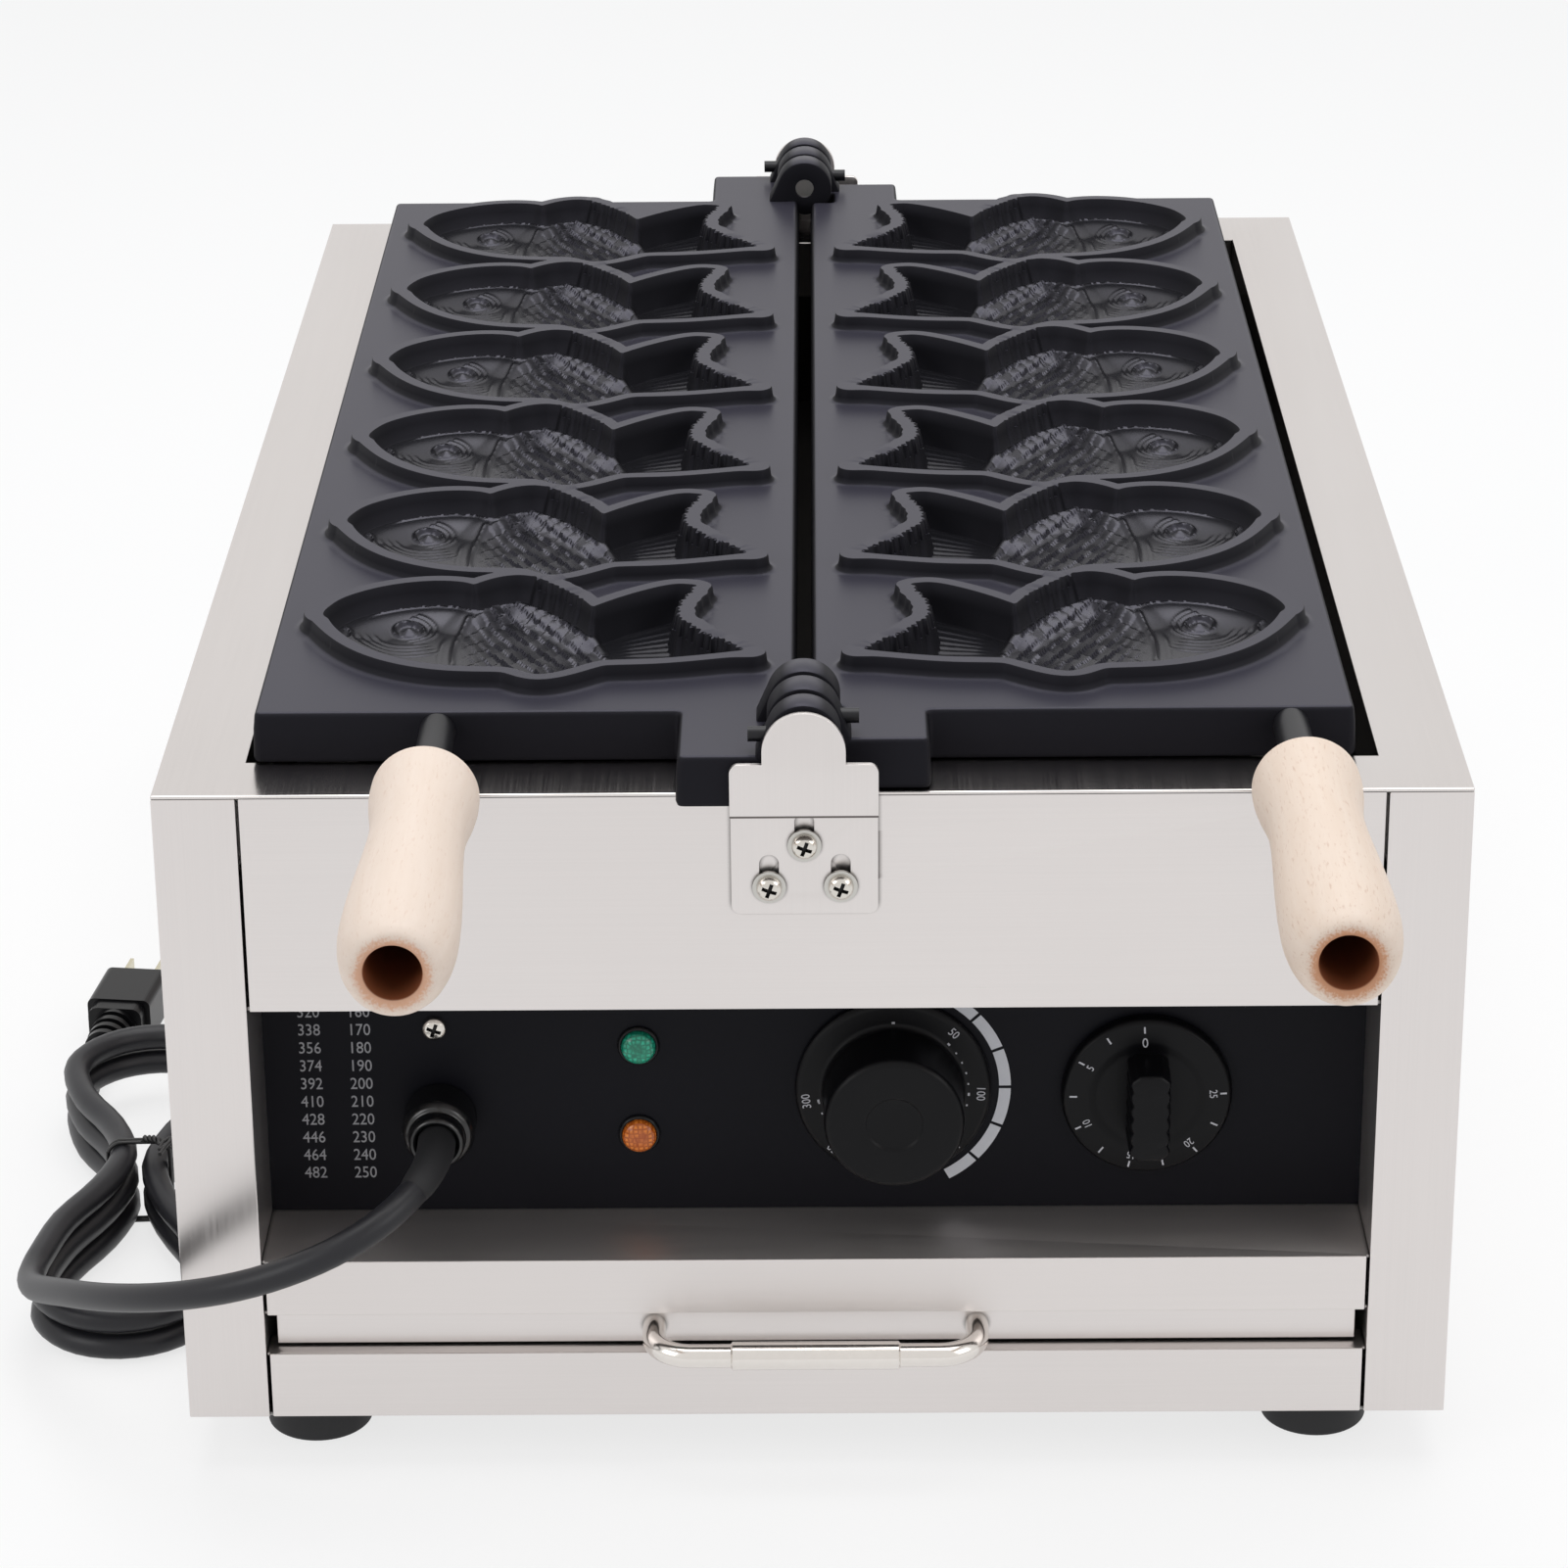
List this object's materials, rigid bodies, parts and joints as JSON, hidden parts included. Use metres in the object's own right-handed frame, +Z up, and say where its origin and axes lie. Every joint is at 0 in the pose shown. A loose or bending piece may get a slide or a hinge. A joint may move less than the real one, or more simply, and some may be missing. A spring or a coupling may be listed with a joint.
{
  "type": "fish-cake waffle maker",
  "caption": "Countertop maker for fish-shaped cakes: two mould plates on one shared hinge over a stainless body, with wooden grips and a pull-out tray.",
  "frame": {"origin": "on the table, in the middle of the object's plan without its cord, at the bottom of the feet", "axes": "+X to the right seen from the front, +Y from the front with the dials to the rear, +Z up"},
  "size_m": [0.5115, 0.8352, 0.2869],
  "materials": {
    "stainless": "satin stainless sheet",
    "plain_sheet": "plain sheet steel",
    "panel_paint": "black satin paint",
    "rubber": "matte black rubber",
    "fasteners": "bright nickel plate",
    "pin_steel": "turned steel",
    "cast_plate": "cast aluminium with a dark non-stick coat",
    "black_steel": "blackened steel",
    "wood": "pale turned beech, oiled",
    "knob_plastic": "black moulded plastic",
    "switch_case": "plated switch case",
    "copper": "drawn copper tube",
    "green_lens": "clear green lens",
    "orange_lens": "clear orange lens",
    "ceramic": "glazed ceramic",
    "gland_plastic": "black moulded plastic",
    "cord_jacket": "dark grey cord jacket",
    "blade_metal": "plated brass blades"
  },
  "bodies": {
    "base": {"side_panel_left": "stainless", "side_panel_right": "stainless", "top_frame": "stainless", "well_pan": "plain_sheet", "front_apron": "stainless", "control_panel": "panel_paint", "control_shelf": "stainless", "lower_front_bar": "stainless", "base_pan": "plain_sheet", "rear_panel": "stainless", "foot_front_left": "rubber", "foot_front_right": "rubber", "foot_rear_left": "rubber", "foot_rear_right": "rubber", "foot_screws": "fasteners", "front_hinge_bracket": "stainless", "rear_hinge_bracket": "stainless", "bracket_screws": "fasteners", "bracket_washers": "fasteners", "bracket_nuts": "fasteners", "front_hinge_pin": "pin_steel", "rear_hinge_pin": "pin_steel", "left_heater": "black_steel", "right_heater": "black_steel", "tray_runner_left": "plain_sheet", "tray_runner_right": "plain_sheet", "thermostat_body": "switch_case", "capillary_sensor": "copper", "timer_body": "switch_case", "green_lamp": "green_lens", "orange_lamp": "orange_lens", "panel_screw": "fasteners", "terminal_block": "ceramic", "cord_gland": "gland_plastic", "cord_lead": "cord_jacket", "cord_hank": "cord_jacket", "cord_tie": "gland_plastic", "plug_body": "gland_plastic", "plug_pins": "blade_metal"},
    "left_plate": {"left_plate": "cast_plate", "left_knuckle_screws": "black_steel", "left_handle_rod": "black_steel", "left_grip": "wood", "left_grip_nut": "fasteners"},
    "right_plate": {"right_plate": "cast_plate", "right_knuckle_screws": "black_steel", "right_handle_rod": "black_steel", "right_grip": "wood", "right_grip_nut": "fasteners"},
    "tray": {"drip_tray": "stainless", "tray_pull": "stainless"},
    "temperature_dial": {"temperature_dial": "knob_plastic", "temperature_spindle": "pin_steel"},
    "timer_knob": {"timer_knob": "knob_plastic", "timer_spindle": "pin_steel"}
  },
  "joints": [
    {"name": "left_plate_hinge", "type": "hinge", "parent": "base", "child": "left_plate", "pos_m": [-0.0025, 0, 0.2749], "axis": [0, 1, 0], "range_deg": [0, 180]},
    {"name": "right_plate_hinge", "type": "hinge", "parent": "base", "child": "right_plate", "pos_m": [-0.0025, 0, 0.2749], "axis": [0, -1, 0], "range_deg": [0, 180]},
    {"name": "tray_slide", "type": "slide", "parent": "base", "child": "tray", "axis": [0, -1, 0], "range_m": [0, 0.6]},
    {"name": "temperature_dial_turn", "type": "hinge", "parent": "base", "child": "temperature_dial", "pos_m": [0.027, -0.22, 0.126], "axis": [0, 1, 0], "range_deg": [0, 270]},
    {"name": "timer_knob_turn", "type": "hinge", "parent": "base", "child": "timer_knob", "pos_m": [0.1135, -0.22, 0.124], "axis": [0, 1, 0], "range_deg": [0, 325]}
  ]
}
